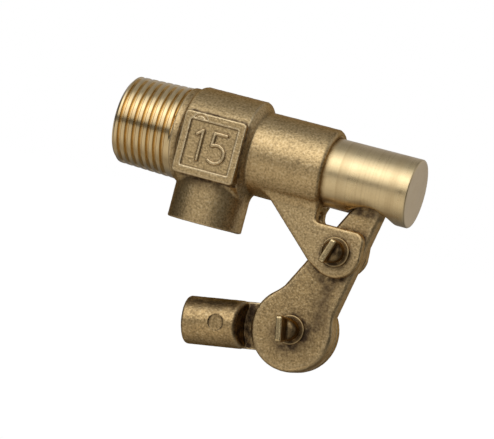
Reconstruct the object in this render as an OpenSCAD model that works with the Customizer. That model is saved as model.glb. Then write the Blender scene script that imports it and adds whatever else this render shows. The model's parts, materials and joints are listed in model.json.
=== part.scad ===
// Brass float valve with a tapered male inlet, a sliding piston, a tipping lever
// and an adjustable socket for the float rod.
// Millimetres. The origin is the centre of the inlet's end face. +X runs along the
// barrel towards the piston, +Z is up, and the spout points down.

/* [Inlet] */
// Major diameter of the tapered thread at its gauge plane
thread_gauge_d = 20.955; // [20.5:0.005:21.4]
// Distance from the inlet's end face to the gauge plane
thread_gauge_x = 8.2; // [7:0.1:9.5]
// Pitch of the thread, 14 turns to the inch
thread_pitch = 1.8143; // [1.6:0.0001:2]
// Length of the threaded stretch
thread_len = 14.6; // [13:0.1:15]
// Bore of the inlet
inlet_bore_d = 14.8; // [14.2:0.1:15.4]
// Depth of the inlet bore, down to the step in front of the seat
inlet_bore_len = 10; // [8:0.1:10.5]
// Diameter of the plain neck behind the thread
neck_d = 21.8; // [21.4:0.1:22.4]

/* [Barrel] */
// Diameter of the thick barrel over the seat chamber
chamber_od = 23.6; // [22.8:0.1:25]
// Where the thick barrel starts
chamber_x0 = 16.5; // [15.8:0.1:16.8]
// Where the shoulder down to the piston barrel starts
chamber_x1 = 31.9; // [31:0.1:32.6]
// Length of the sloped shoulder
shoulder_len = 1.8; // [1:0.1:2.4]
// Diameter of the piston barrel
barrel_od = 19.4; // [19:0.1:20.4]
// Where the piston barrel ends
barrel_x1 = 51.25; // [50:0.05:51.4]
// Edge radius of the barrel's open end
barrel_edge_r = 1; // [0.4:0.1:1.2]

/* [Spout] */
// Distance of the spout's axis from the inlet's end face
spout_x = 24.5; // [24:0.1:25]
// Outside diameter of the spout
spout_od = 17.5; // [16.5:0.1:18.5]
// Bore of the spout
spout_bore_d = 13; // [10:0.1:14]
// Distance of the spout's mouth below the barrel's axis
spout_drop = 19.2; // [18:0.1:21]

/* [Pads] */
// Size of the square pads on both sides of the thick barrel, along the barrel
pad_w = 15.1; // [14.5:0.1:15.5]
// Height of the pads
pad_h = 14.4; // [13.5:0.1:15]
// Centre of the pads along the barrel
pad_x = 24.85; // [24.5:0.05:25.2]
// Height of the pads' centre over the barrel's axis
pad_z = -1.65; // [-2:0.05:-1]
// Distance of the pads' faces from the barrel's axis
pad_y = 12.05; // [11.9:0.05:12.4]
// Width of the raised frame around a pad
pad_frame = 1.8; // [1.2:0.1:2.4]
// Depth of the field inside the frame
pad_field_depth = 0.5; // [0.3:0.05:0.7]
// Width of the raised strokes in the field
mark_stroke = 0.8; // [0.5:0.05:1.1]

/* [Lever and lugs] */
// Pivot, distance from the inlet's end face
pivot_x = 57.95; // [57.8:0.05:58.1]
// Pivot, height over the barrel's axis
pivot_z = -17.25; // [-17.4:0.05:-17.1]
// Outer radius of the lugs around the pivot
lug_r = 5.9; // [5.6:0.1:6.2]
// Distance between the two lugs
lug_gap = 4.5; // [4.4:0.05:4.8]
// Thickness of one lug
lug_t = 2.75; // [2.4:0.05:3.2]
// How much smaller the rear lug's rounded end is than the front one's
rear_lug_trim = 0.3; // [0:0.05:0.6]
// Thickness of the lever
lever_t = 4.2; // [3.8:0.05:4.3]
// Centre of the lever's lower disc, distance from the inlet's end face
disc_x = 51.6; // [51.2:0.05:52]
// Centre of the lever's lower disc, height over the barrel's axis
disc_z = -37; // [-37.5:0.05:-36.5]
// Radius of the two clamped discs
disc_r = 9.75; // [9.3:0.05:10]
// Radius of the lever's rounded tip
tip_r = 3.3; // [3.1:0.05:3.4]

/* [Arm socket] */
// Direction of the socket, counted from +X towards +Z
socket_angle = 189.5; // [175:0.5:200]
// Diameter of the socket
socket_d = 11.1; // [10.8:0.1:12]
// Distance of the socket's mouth from the disc's axis
socket_reach = 25.4; // [24:0.1:28]
// Radius, about the disc's axis, of the scoop that clears the lever's disc
scoop_r = 12.4; // [11:0.1:13]
// Thickness of the socket's disc and tang
tang_t = 2.9; // [2.6:0.1:3.4]
// Wall diameter of the tapped hole for the float rod
rod_hole_d = 6.8; // [5:0.1:7.2]
// Depth of the tapped hole
rod_hole_depth = 11; // [8:0.5:11.5]

/* [Piston] */
// Diameter of the piston
piston_d = 16; // [15.9:0.01:16.05]
// Outer end of the piston with the valve fully open
piston_x1 = 71.4; // [71:0.1:72]
// Radius of the scallop under the piston
scallop_r = 8; // [7.6:0.1:8.4]
// Centre of the scallop along the piston
scallop_x = 62.9; // [62.7:0.1:63.1]
// Height of the scallop's roof over the barrel's axis
scallop_top = -5.65; // [-5.9:0.05:-5.4]
// Stroke of the piston from fully open to shut
stroke = 5.4; // [5.2:0.1:5.5]

/* [Screws] */
// Diameter of both screws' shanks
shank_d = 4; // [3.5:0.1:4.4]
// Outside diameter of the split washer under each wing
washer_od = 6.8; // [6.4:0.1:7.6]
// Thickness of the split washers
split_washer_t = 1; // [0.8:0.1:1.1]
// Width of a wing at its outer edge
wing_w = 6.1; // [6:0.1:8]
// Thickness of a wing
wing_t = 1.35; // [0.9:0.05:1.5]
// Distance from the barrel's mid plane to the pivot screw's outer end
pivot_wing_y = 12.3; // [11:0.1:14]
// Distance from the barrel's mid plane to the clamp screw's outer end
clamp_wing_y = 12.1; // [9:0.1:14]
// Angle of the pivot screw's wing, from +X towards +Z
pivot_wing_angle = 72; // [0:1:180]
// Angle of the clamp screw's wing, from +X towards +Z
clamp_wing_angle = 102; // [0:1:180]

/* [Hidden] */
$fn = 96;
eps = 0.01;
cast_brass = [0.58, 0.46, 0.27];
turned_brass = [0.80, 0.65, 0.36];
rubber_black = [0.08, 0.08, 0.08];
running_gap = 0.05; // radial clearance of everything that slides or turns

// thread
thread_depth = 0.64 * thread_pitch;
thread_land = 0.34 * thread_pitch;
thread_root_w = 0.16 * thread_pitch;
thread_taper = 1 / 32; // radius gained per unit of length
thread_turns = floor(thread_len / thread_pitch);
thread_first_x = thread_len - thread_turns * thread_pitch;

// inside the body
web_x0 = 13;
web_x1 = 18;
nozzle_shank_r = 5;
nozzle_recess_r = 6.8;
chamber_r = 10;
chamber_end_x = 32;
bore_r = piston_d / 2 + running_gap;

// washer end of the piston, with the valve fully open
washer_x = barrel_x1 - 22.85;
washer_t = 3;
washer_r = 5.9;
cup_lip_t = 1;
cup_lip_r = 4.6;
cup_r = 7;
cup_x0 = washer_x - cup_lip_t;
cup_x1 = washer_x + washer_t + 3;
spigot_r = 5.95;
nozzle_tip_x = washer_x - stroke - running_gap;
nozzle_tip_r = 3.6;
nozzle_bore_r = 2.6;
nozzle_flange_r = 6.6;
nozzle_flange_t = 2;

// sealing ring
ring_cord_r = 0.8;
ring_x = 43;
ring_groove_r = bore_r - 0.02 - 2 * ring_cord_r;
ring_groove_w = 2.2;

// lever outline: two straight flanks that lean by these amounts per unit of height
left_flank = [47.19, -27.76];
left_lean = 0.5205;
right_flank = [60.86, -30.33];
right_lean = 0.1956;
pin_hole_r = shank_d / 2 + running_gap;
disc_gap = 0.1; // between the lever's disc and the socket's disc
socket_y0 = lever_t / 2 + disc_gap;
slot_w = lever_t + 0.4;
slot_x0 = 57.3;
slot_x1 = 66.1;
slot_top = -1.4;

// Point on the unit circle
function unit(a) = [cos(a), sin(a)];

// Points of an arc about c
function arc(c, r, a0, a1, n = 12) = [
    for (i = [0:n]) c + r * unit(a0 + (a1 - a0) * i / n)
];

// Turns a shape made about +Z into one about +X, with its base at x = 0
module along_x() {
    rotate([0, 90, 0])
        children();
}

// Turns a flat drawing in x and z into a plate from y0 to y1
module plate(y0, y1) {
    translate([0, y1, 0])
        rotate([90, 0, 0])
            linear_extrude(y1 - y0)
                children();
}

// Cylinder along y, from y0 to y1, about the point (x, z)
module pin_y(x, z, r, y0, y1) {
    translate([x, y1, z])
        rotate([90, 0, 0])
            cylinder(r = r, h = y1 - y0);
}

// ---- body ----

// Crest radius of the thread at distance x from the end face
function crest_r(x) = thread_gauge_d / 2 + (x - thread_gauge_x) * thread_taper;

// Half the amount a crest's land grows along its width: none beside the gauge plane,
// where the lands are cylinders that a gauge can measure, and the taper's share elsewhere
function land_rise(x) =
    abs(x - thread_gauge_x) < 1.1 * thread_pitch ? 0 : thread_land / 2 * thread_taper;

// One crest: a narrow land between two sloped flanks
function crest(x) = [
    [crest_r(x) - thread_depth, x - thread_pitch / 2 + thread_root_w / 2],
    [crest_r(x) - land_rise(x), x - thread_land / 2],
    [crest_r(x) + land_rise(x), x + thread_land / 2],
    [crest_r(x) - thread_depth, x + thread_pitch / 2 - thread_root_w / 2]
];

// The first crest has no groove before it: the end chamfer runs straight up to it
function thread_profile() = [
    for (i = [0:thread_turns - 1], j = [i == 0 ? 1 : 0:3])
        crest(thread_first_x + (i + 0.5) * thread_pitch)[j]
];

module outer_turned_shape() {
    shoulder_r = 1;
    end_chamfer = 0.9;
    along_x()
        rotate_extrude()
            polygon(concat(
                [[0, 0], [crest_r(0) - end_chamfer, 0]],
                thread_profile(),
                [
                    [neck_d / 2 - 0.3, thread_len],
                    [neck_d / 2, thread_len + 0.3],
                    [neck_d / 2, chamber_x0]
                ],
                [for (p = arc([chamber_x0 + shoulder_r, chamber_od / 2 - shoulder_r],
                              shoulder_r, 180, 90, 6)) [p[1], p[0]]],
                [
                    [chamber_od / 2, chamber_x1],
                    [barrel_od / 2, chamber_x1 + shoulder_len]
                ],
                [for (p = arc([barrel_x1 - barrel_edge_r, barrel_od / 2 - barrel_edge_r],
                              barrel_edge_r, 90, 0, 6)) [p[1], p[0]]],
                [[0, barrel_x1]]
            ));
}

// Direction from one point to the next, as a vector of length 1
function direction(a, b) = (b - a) / norm(b - a);

// One side of a raised stroke along points: 1 is the left side, -1 the right side
function stroke_side(points, side) = [
    for (i = [0:len(points) - 1])
        let (
            last = len(points) - 1,
            before = direction(points[max(i - 1, 0)], points[max(i, 1)]),
            after = direction(points[min(i, last - 1)], points[min(i + 1, last)]),
            sum = before + after
        )
            points[i] + side * mark_stroke / 2 * [-sum[1], sum[0]] / (1 + before * after)
];

// Round end of a stroke that runs in direction d and ends at c
function stroke_end(c, d) = [
    for (turn = [60:-30:-60]) c + mark_stroke / 2 * unit(atan2(d[1], d[0]) + turn)
];

// Raised stroke along a list of points
module mark_path(points) {
    last = len(points) - 1;
    right_side = stroke_side(points, -1);
    polygon(concat(
        stroke_side(points, 1),
        stroke_end(points[last], direction(points[last - 1], points[last])),
        [for (i = [last:-1:0]) right_side[i]],
        stroke_end(points[0], direction(points[1], points[0]))
    ));
}

// The nominal bore in millimetres, 15, as plain strokes about the field's centre
module size_mark() {
    mark_path([[-3.6, 2.3], [-2.3, 3.4]]);
    mark_path([[-2.2, 3.3], [-2.2, -3.4]]);
    mark_path([[3.5, 3.4], [0.6, 3.4]]);
    mark_path([[0.65, 3.3], [0.45, 0.5]]);
    mark_path(arc([1.75, -1.25], 2.1, 125, -130, 10));
}

// Flow arrow, pointing along the barrel away from the inlet
module flow_mark() {
    mark_path([[-4, 0], [3.6, 0]]);
    mark_path([[1.6, 2.4], [4, 0], [1.6, -2.4]]);
}

// Square pad with a sunk field; side is -1 for the front and 1 for the back
module pad(side) {
    field_w = pad_w - 2 * pad_frame;
    field_h = pad_h - 2 * pad_frame;
    field_y = pad_y - pad_field_depth;
    translate([pad_x, 0, pad_z])
        scale([1, side, 1])
            difference() {
                plate(0, pad_y)
                    square([pad_w, pad_h], center = true);
                plate(field_y, pad_y + 1)
                    difference() {
                        square([field_w, field_h], center = true);
                        if (side < 0)
                            size_mark();
                        else
                            flow_mark();
                    }
            }
}

// Outline of one lug, in x and z, with its rounded end made smaller by trim
module lug_outline(trim) {
    top = -11.7;
    right = 63.6 - trim;
    corner_r = 2.2;
    inner_x = 51.4;
    inner_r = 1;
    flank_a = [37.5, -7.5];
    flank_b = [52.2, -20.85];
    polygon(concat(
        [flank_a, flank_b],
        arc([pivot_x, pivot_z], lug_r - trim, 233, 355, 20),
        arc([right - corner_r, top - corner_r], corner_r, 0, 90, 8),
        arc([inner_x + inner_r, top + inner_r], inner_r, 270, 180, 6),
        [[inner_x - 0.2, -7.5]]
    ));
}

module lugs() {
    for (side = [-1, 1])
        scale([1, side, 1])
            plate(lug_gap / 2, lug_gap / 2 + lug_t)
                lug_outline(side > 0 ? rear_lug_trim : 0);
}

module body_bores() {
    translate([-1, 0, 0])
        along_x()
            cylinder(r = inlet_bore_d / 2, h = inlet_bore_len + 1);
    translate([inlet_bore_len - 1, 0, 0])
        along_x()
            cylinder(r = nozzle_recess_r, h = web_x0 - inlet_bore_len + 1);
    translate([web_x0 - 1, 0, 0])
        along_x()
            cylinder(r = nozzle_shank_r, h = web_x1 - web_x0 + 2);
    translate([web_x1, 0, 0])
        along_x()
            cylinder(r = chamber_r, h = chamber_end_x - web_x1);
    translate([chamber_end_x - 1, 0, 0])
        along_x()
            cylinder(r = bore_r, h = barrel_x1 - chamber_end_x + 2);
    translate([spout_x, 0, -spout_drop - 1])
        cylinder(r = spout_bore_d / 2, h = spout_drop + 1);
    pin_y(pivot_x, pivot_z, pin_hole_r, -10, 10);
}

module body() {
    color(cast_brass)
        difference() {
            union() {
                outer_turned_shape();
                translate([spout_x, 0, -spout_drop])
                    cylinder(r = spout_od / 2, h = spout_drop);
                pad(-1);
                pad(1);
                lugs();
            }
            body_bores();
        }
}

// Screwed-in seat: flange against the web, nose that the washer closes on
module seat_nozzle() {
    slot_depth = 1;
    slot_width = 1.6;
    color(turned_brass)
        difference() {
            along_x()
                rotate_extrude()
                    polygon([
                        [nozzle_bore_r, web_x0 - nozzle_flange_t],
                        [nozzle_flange_r, web_x0 - nozzle_flange_t],
                        [nozzle_flange_r, web_x0],
                        [nozzle_shank_r - running_gap / 2, web_x0],
                        [nozzle_shank_r - running_gap / 2, web_x1],
                        [nozzle_tip_r + 0.5, nozzle_tip_x - 1],
                        [nozzle_tip_r, nozzle_tip_x],
                        [nozzle_bore_r, nozzle_tip_x]
                    ]);
            translate([web_x0 - nozzle_flange_t - 1, -10, -slot_width / 2])
                cube([1 + slot_depth, 20, slot_width]);
        }
}

// ---- piston ----

module piston() {
    end_edge = 0.3;
    color(turned_brass)
        difference() {
            along_x()
                rotate_extrude()
                    polygon([
                        [0, washer_x + washer_t],
                        [spigot_r, washer_x + washer_t],
                        [spigot_r, cup_x1],
                        [piston_d / 2 - end_edge, cup_x1],
                        [piston_d / 2, cup_x1 + end_edge],
                        [piston_d / 2, ring_x - ring_groove_w / 2],
                        [ring_groove_r, ring_x - ring_groove_w / 2],
                        [ring_groove_r, ring_x + ring_groove_w / 2],
                        [piston_d / 2, ring_x + ring_groove_w / 2],
                        [piston_d / 2, piston_x1 - end_edge],
                        [piston_d / 2 - end_edge, piston_x1],
                        [0, piston_x1]
                    ]);
            pin_y(scallop_x, scallop_top - scallop_r, scallop_r, -10, 10);
            translate([slot_x0, -slot_w / 2, -10])
                cube([slot_x1 - slot_x0, slot_w, 10 + slot_top]);
        }
}

module piston_ring() {
    color(rubber_black)
        translate([ring_x, 0, 0])
            along_x()
                rotate_extrude()
                    translate([ring_groove_r + ring_cord_r, 0])
                        circle(r = ring_cord_r - eps / 2, $fn = 32);
}

module washer_cup() {
    color(turned_brass)
        along_x()
            rotate_extrude()
                polygon([
                    [cup_lip_r, cup_x0],
                    [cup_r - 0.5, cup_x0],
                    [cup_r, cup_x0 + 0.5],
                    [cup_r, cup_x1 - eps],
                    [spigot_r + running_gap, cup_x1 - eps],
                    [spigot_r + running_gap, washer_x],
                    [cup_lip_r, washer_x]
                ]);
}

module seat_washer() {
    color(rubber_black)
        translate([washer_x + eps, 0, 0])
            along_x()
                cylinder(r = washer_r, h = washer_t - 2 * eps);
}

// ---- lever and arm ----

// Points on the lever's two flanks at height z
function left_x(z) = left_flank[0] + (z - left_flank[1]) * left_lean;
function right_x(z) = right_flank[0] + (z - right_flank[1]) * right_lean;

// Directions square to the flanks, pointing out of the lever
left_out = 180 - atan(left_lean);
right_out = -atan(right_lean);

// Centre of the tip circle, which touches both flanks
function tip_height() = let(
    inset_l = tip_r / cos(atan(left_lean)),
    inset_r = tip_r / cos(atan(right_lean)),
    base_l = left_flank[0] - left_flank[1] * left_lean + inset_l,
    base_r = right_flank[0] - right_flank[1] * right_lean - inset_r
) (base_r - base_l) / (left_lean - right_lean);
tip_z = tip_height();
tip_x = left_x(tip_z) + tip_r / cos(atan(left_lean));

// The arm, from inside the lower disc to the rounded tip
module arm_outline() {
    foot_z = disc_z + 2;
    polygon(concat(
        [[left_x(foot_z), foot_z]],
        arc([tip_x, tip_z], tip_r, left_out, right_out, 16),
        [[right_x(foot_z), foot_z]]
    ));
}

module lever() {
    color(cast_brass)
        difference() {
            union() {
                plate(-lever_t / 2, lever_t / 2)
                    arm_outline();
                pin_y(disc_x, disc_z, disc_r, -lever_t / 2, lever_t / 2);
            }
            pin_y(pivot_x, pivot_z, pin_hole_r, -10, 10);
            pin_y(disc_x, disc_z, pin_hole_r, -10, 10);
        }
}

module arm_socket() {
    inner = scoop_r - 3;
    length = socket_reach - inner;
    mouth_edge = 0.6;
    spot_r = 2;
    spot_at = 17;
    spot_depth = 0.3;
    color(cast_brass)
        translate([disc_x, 0, disc_z])
            rotate([0, -socket_angle, 0])
                difference() {
                    union() {
                        pin_y(0, 0, disc_r, socket_y0, socket_y0 + tang_t);
                        translate([0, socket_y0, -socket_d / 2])
                            cube([scoop_r + 1, tang_t, socket_d]);
                        difference() {
                            translate([inner, 0, 0])
                                along_x()
                                    rotate_extrude()
                                        polygon([
                                            [0, 0],
                                            [socket_d / 2, 0],
                                            [socket_d / 2, length - mouth_edge],
                                            [socket_d / 2 - mouth_edge, length],
                                            [0, length]
                                        ]);
                            pin_y(0, 0, scoop_r, -10, socket_y0);
                        }
                    }
                    pin_y(0, 0, pin_hole_r, -10, 10);
                    translate([socket_reach - rod_hole_depth, 0, 0])
                        along_x()
                            cylinder(d = rod_hole_d, h = rod_hole_depth + 1);
                    pin_y(spot_at, 0, spot_r, -10, -socket_d / 2 + spot_depth);
                }
}

// ---- screws ----

// Wing screw about y. It bears at y = face_y, its shank runs back to y = end_y, and
// its domed boss and wing reach forward to y = wing_y.
module wing_screw(x, z, face_y, end_y, wing_y, boss_l, wing_angle) {
    boss_r = 2.8;
    wing_root_w = 5;
    wing_corner = 0.6;
    tip_edge = 0.6;
    shank_l = end_y - face_y;
    head_l = face_y - wing_y;
    color(turned_brass)
        translate([x, face_y, z])
            union() {
                rotate([-90, 0, 0])
                    rotate_extrude()
                        polygon([
                            [0, 0],
                            [shank_d / 2, 0],
                            [shank_d / 2, shank_l - tip_edge],
                            [shank_d / 2 - tip_edge, shank_l],
                            [0, shank_l]
                        ]);
                rotate([90, 0, 0])
                    rotate_extrude()
                        polygon(concat(
                            [[0, -eps]],
                            [for (p = arc([0, 0], 1, 0, 90, 8)) [boss_r * p[0], boss_l * p[1]]]
                        ));
                rotate([0, -wing_angle, 0])
                    translate([0, 0, wing_t / 2])
                        rotate([180, 0, 0])
                            linear_extrude(wing_t)
                                polygon([
                                    [-wing_root_w / 2, 0],
                                    [wing_root_w / 2, 0],
                                    [wing_w / 2, head_l - wing_corner],
                                    [wing_w / 2 - wing_corner, head_l],
                                    [-wing_w / 2 + wing_corner, head_l],
                                    [-wing_w / 2, head_l - wing_corner]
                                ]);
            }
}

// Split washer about y, from y = face_y forward, with its slot at slot_angle
module split_washer(x, z, face_y, slot_angle) {
    inner_r = shank_d / 2 + 0.15;
    slot_w = 0.5;
    color(turned_brass)
        difference() {
            pin_y(x, z, washer_od / 2, face_y - split_washer_t + eps, face_y - eps);
            pin_y(x, z, inner_r, face_y - 5, face_y + 5);
            translate([x, face_y - 5, z])
                rotate([0, -slot_angle, 0])
                    translate([0, 0, -slot_w / 2])
                        cube([10, 10, slot_w]);
        }
}

lug_face_y = -lug_gap / 2 - lug_t;
lever_face_y = -lever_t / 2;
screw_stickout = 1.2; // how far a shank's end stands out behind its tapped hole

module pivot_screw() {
    wing_screw(pivot_x, pivot_z, lug_face_y - split_washer_t,
               -lug_face_y + screw_stickout, -pivot_wing_y, 3.2, pivot_wing_angle);
}

module pivot_washer() {
    split_washer(pivot_x, pivot_z, lug_face_y, 160);
}

module clamp_screw() {
    wing_screw(disc_x, disc_z, lever_face_y - split_washer_t,
               socket_y0 + tang_t + screw_stickout, -clamp_wing_y, 4.2, clamp_wing_angle);
}

module clamp_washer() {
    split_washer(disc_x, disc_z, lever_face_y, 250);
}

body();
seat_nozzle();
piston();
piston_ring();
washer_cup();
seat_washer();
lever();
arm_socket();
pivot_screw();
pivot_washer();
clamp_screw();
clamp_washer();
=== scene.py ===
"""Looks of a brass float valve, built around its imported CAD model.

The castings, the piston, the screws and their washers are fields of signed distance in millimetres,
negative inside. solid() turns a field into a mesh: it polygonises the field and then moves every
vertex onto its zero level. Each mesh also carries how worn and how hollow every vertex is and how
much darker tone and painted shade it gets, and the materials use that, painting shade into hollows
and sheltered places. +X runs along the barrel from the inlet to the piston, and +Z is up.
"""

import json
import math

import bpy
import numpy as np
import openvdb
from mathutils import Matrix, Vector

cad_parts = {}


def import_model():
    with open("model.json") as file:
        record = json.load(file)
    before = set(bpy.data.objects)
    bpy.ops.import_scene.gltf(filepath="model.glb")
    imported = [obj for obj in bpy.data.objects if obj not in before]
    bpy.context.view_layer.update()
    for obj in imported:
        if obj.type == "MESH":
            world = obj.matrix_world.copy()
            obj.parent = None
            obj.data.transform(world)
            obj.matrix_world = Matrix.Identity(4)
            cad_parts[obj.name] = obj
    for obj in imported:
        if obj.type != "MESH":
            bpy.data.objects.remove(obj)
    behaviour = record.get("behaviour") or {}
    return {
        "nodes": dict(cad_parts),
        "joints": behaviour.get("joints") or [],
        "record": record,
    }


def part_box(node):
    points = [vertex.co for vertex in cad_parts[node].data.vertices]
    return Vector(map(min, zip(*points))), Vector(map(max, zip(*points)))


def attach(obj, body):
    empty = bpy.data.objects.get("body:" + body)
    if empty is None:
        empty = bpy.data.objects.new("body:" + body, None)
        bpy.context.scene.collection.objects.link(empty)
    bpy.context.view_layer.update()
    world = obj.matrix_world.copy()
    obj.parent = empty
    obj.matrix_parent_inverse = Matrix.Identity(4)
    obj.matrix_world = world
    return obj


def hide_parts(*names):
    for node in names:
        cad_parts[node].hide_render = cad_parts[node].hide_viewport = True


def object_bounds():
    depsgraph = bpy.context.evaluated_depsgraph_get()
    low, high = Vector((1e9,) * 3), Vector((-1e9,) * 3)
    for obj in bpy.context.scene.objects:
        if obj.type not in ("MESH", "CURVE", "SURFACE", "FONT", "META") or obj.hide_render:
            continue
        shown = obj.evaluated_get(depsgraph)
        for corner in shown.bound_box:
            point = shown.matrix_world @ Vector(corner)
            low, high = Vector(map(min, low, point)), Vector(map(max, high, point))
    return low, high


MM = 0.001

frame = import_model()
cad_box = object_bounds()

# ---------------------------------------------------------------- sizes, in millimetres

joints = {joint["name"]: joint for joint in frame["joints"]}
mounts = {mount["name"]: mount for mount in frame["record"]["mounts"]}


def box_mm(node):
    """Lowest and highest corner of a CAD node, in millimetres."""
    return [np.array(corner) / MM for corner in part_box(node)]


PIVOT_X, _, PIVOT_Z = np.array(joints["lever_pivot"]["pos_m"]) / MM
DISC_X, _, DISC_Z = np.array(joints["arm_adjust"]["pos_m"]) / MM
SPOUT_X, _, SPOUT_Z = np.array(mounts["spout_bore"]["pos_m"]) / MM
SPOUT_BORE_R = mounts["spout_bore"]["dims"]["r_mm"]
INLET_BORE_R = mounts["inlet_bore"]["dims"]["r_mm"]
INLET_BORE_LEN = mounts["inlet_bore"]["dims"]["length_mm"]
GAUGE_X = mounts["inlet_thread"]["pos_m"][0] / MM
GAUGE_R = mounts["inlet_thread"]["dims"]["r_mm"]
ROD_HOLE_R = mounts["float_rod_hole"]["dims"]["r_mm"]
ROD_HOLE_LEN = mounts["float_rod_hole"]["dims"]["length_mm"]
ROD_MOUTH = np.array(mounts["float_rod_hole"]["pos_m"]) / MM

BODY_LOW, BODY_HIGH = box_mm("body")
PISTON_LOW, PISTON_HIGH = box_mm("piston")
LEVER_LOW, LEVER_HIGH = box_mm("lever")
SOCKET_LOW, SOCKET_HIGH = box_mm("arm_socket")

# inlet thread
INCH = 25.4
PITCH = INCH / 14
THREAD_DEPTH = 0.9
THREAD_END = 15.4
TAPER = 1 / 32  # growth of the radius along the thread
FIRST_CREST_X = 0.98  # at the front, where the thread faces -Y
RUN_OUT_X = 14.45  # where the last groove fades
END_CHAMFER_R, END_CHAMFER_SLOPE = 9.3, 1.2

# castings
PARTING_H, PARTING_W = 0.1, 0.3  # height and half width of their parting lines
SKIN = 0.012  # height of the unevenness of their skin

# barrel
NECK_R, NECK_X0 = 10.9, 14.75
THICK_R, THICK_X0, THICK_X1 = 11.8, 16.5, 32.2
SHOULDER_LEN = 1.4
BARREL_R, BARREL_MID_X, BARREL_X1 = 9.7, 40.0, 51.25
WEB_X0, WEB_X1 = 13.0, 18.0
ROOT_R = 8.6  # the body's stub inside the inlet piece
OVERLAP = 2.0  # how far the neck and the root reach into the thick barrel
NOZZLE_HOLE_R = 5.0
NOZZLE_RECESS_R = 6.8
CHAMBER_R, CHAMBER_X1 = 10.0, 32.0
SPOUT_R = 8.75

# piston
PISTON_R = (PISTON_HIGH[1] - PISTON_LOW[1]) / 2
BORE_R = PISTON_R + 0.05
SPIGOT_R = 5.95
GROOVE_HALF_W, GROOVE_DEPTH = 1.1, 1.6
SCALLOP_X, SCALLOP_Z, SCALLOP_R = 62.9, -13.65, 8.0
SLOT_X, SLOT_HALF_L, SLOT_HALF_W, SLOT_TOP = 61.7, 4.4, 2.3, -1.4

# pads
PAD_X, PAD_Z, PAD_Y = 24.85, -1.65, BODY_HIGH[1]
PAD_HALF_W, PAD_HALF_H = 7.55, 7.2
PAD_FRAME, PAD_DEPTH = 1.8, 0.55
PAD_BACK_Y = THICK_R - 3.5  # where a pad ends inside the barrel
PAD_TRIM = 0.03  # how far a pad stays inside the CAD model's width
STROKE_R = 0.4
DENT_X, DENT_Z, DENT_R = -3.58, 5.145, 1.5  # arc of a small dent, from the pad's middle
DENT_HALF_W, DENT_LOW_Z, DENT_DEPTH = 0.2, 5.85, 0.25

# lugs
LUG_GAP, LUG_T, LUG_R = 4.5, 2.75, 5.9
LUG_ROOT_Z = -7.5  # inside the barrel
LUG_WEB_X, LUG_WEB_FOOT = 37.5, (52.2, -20.85)
LUG_RIGHT_X, LUG_TOP_Z, LUG_CORNER_R = 63.6, -11.7, 2.2
LUG_INNER_X, LUG_INNER_R = 51.4, 1.0
REAR_LUG_TRIM = 0.45  # how much smaller the rear lug is all round

# lever: a point on each flank, and how far the flank leans towards +X for each unit of height
LEVER_T = LEVER_HIGH[1] - LEVER_LOW[1]
DISC_R = DISC_Z - LEVER_LOW[2]
LEFT_FLANK, LEFT_LEAN = (47.19, -27.76), 0.5205
RIGHT_FLANK, RIGHT_LEAN = (60.86, -30.33), 0.1956
TIP_R = 3.3

# arm
SOCKET_R = 5.55
SOCKET_REACH = math.hypot(ROD_MOUTH[0] - DISC_X, ROD_MOUTH[2] - DISC_Z)
SOCKET_DIR = ((ROD_MOUTH[0] - DISC_X) / SOCKET_REACH, (ROD_MOUTH[2] - DISC_Z) / SOCKET_REACH)
SCOOP_R = 12.4  # the hollow that clears the lever's disc
TANG_Y0 = LEVER_T / 2 + 0.1
TANG_T = 2.9
MARK_ALONG, MARK_R, MARK_DEPTH = 17, 1.8, 0.4  # round casting mark on the socket
ROD_PITCH, ROD_TOOTH_H = INCH / 18, 0.3

# screws and washers
SHANK_R = 2.0
PIN_HOLE_R = SHANK_R + 0.05
SCREW_PITCH, SCREW_TOOTH_H = 0.7, 0.16
DOME_R, CROWN_R = 2.45, 6.5
WING_HALF_T, WING_HALF_W, WING_FLARE = 0.675, 2.5, 0.55
WASHER_T = 1.0
WASHER_HALF_T, WASHER_CLIMB, WASHER_GAP = 0.42, 0.12, 0.25

# ---------------------------------------------------------------- distance fields


def length(*parts):
    """Length of a vector."""
    return np.sqrt(sum(part * part for part in parts))


def rounded(a, b, r):
    """Where both shapes are, with the convex edge between them rounded to radius r."""
    return np.minimum(-r, np.maximum(a, b)) + length(np.maximum(r + a, 0), np.maximum(r + b, 0))


def joined(a, b, r):
    """Both shapes together, with the concave corner between them filled to radius r."""
    return np.maximum(r, np.minimum(a, b)) - length(np.maximum(r - a, 0), np.maximum(r - b, 0))


def cut(a, b, r):
    """Shape a without shape b, with the new edge rounded to radius r."""
    return rounded(a, -b, r)


def to_segment(u, v, start, end):
    """Distance to the straight line between two points."""
    eu, ev = end[0] - start[0], end[1] - start[1]
    share = np.clip(((u - start[0]) * eu + (v - start[1]) * ev) / (eu * eu + ev * ev), 0, 1)
    return length(u - start[0] - share * eu, v - start[1] - share * ev)


def polygon(u, v, points):
    """Distance to a closed outline, negative inside it."""
    nearest = np.inf
    inside = False
    for start, end in zip(points, points[1:] + points[:1]):
        nearest = np.minimum(nearest, to_segment(u, v, start, end))
        eu, ev = end[0] - start[0], end[1] - start[1]
        if ev:
            crossing = eu * (v - start[1]) / ev + start[0]
            inside = inside ^ (((start[1] > v) != (end[1] > v)) & (u < crossing))
    return np.where(inside, -nearest, nearest)


def strokes(u, v, paths):
    """Distance to the middle lines of some open paths."""
    nearest = np.inf
    for path in paths:
        for start, end in zip(path, path[1:]):
            nearest = np.minimum(nearest, to_segment(u, v, start, end))
    return nearest


def arc(centre, r, start, end, steps=12):
    """Points of an arc, with angles in degrees."""
    return [
        (centre[0] + r * math.cos(a), centre[1] + r * math.sin(a))
        for a in np.radians(np.linspace(start, end, steps + 1))
    ]


def ridge(across, height, width):
    """Height of a thin raised line, such as a casting's parting line."""
    return height * np.exp(-((across / width) ** 2))


def eased(share):
    """A share from 0 to 1 with soft ends."""
    return share * share * (3 - 2 * share)


# ---------------------------------------------------------------- body

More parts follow.
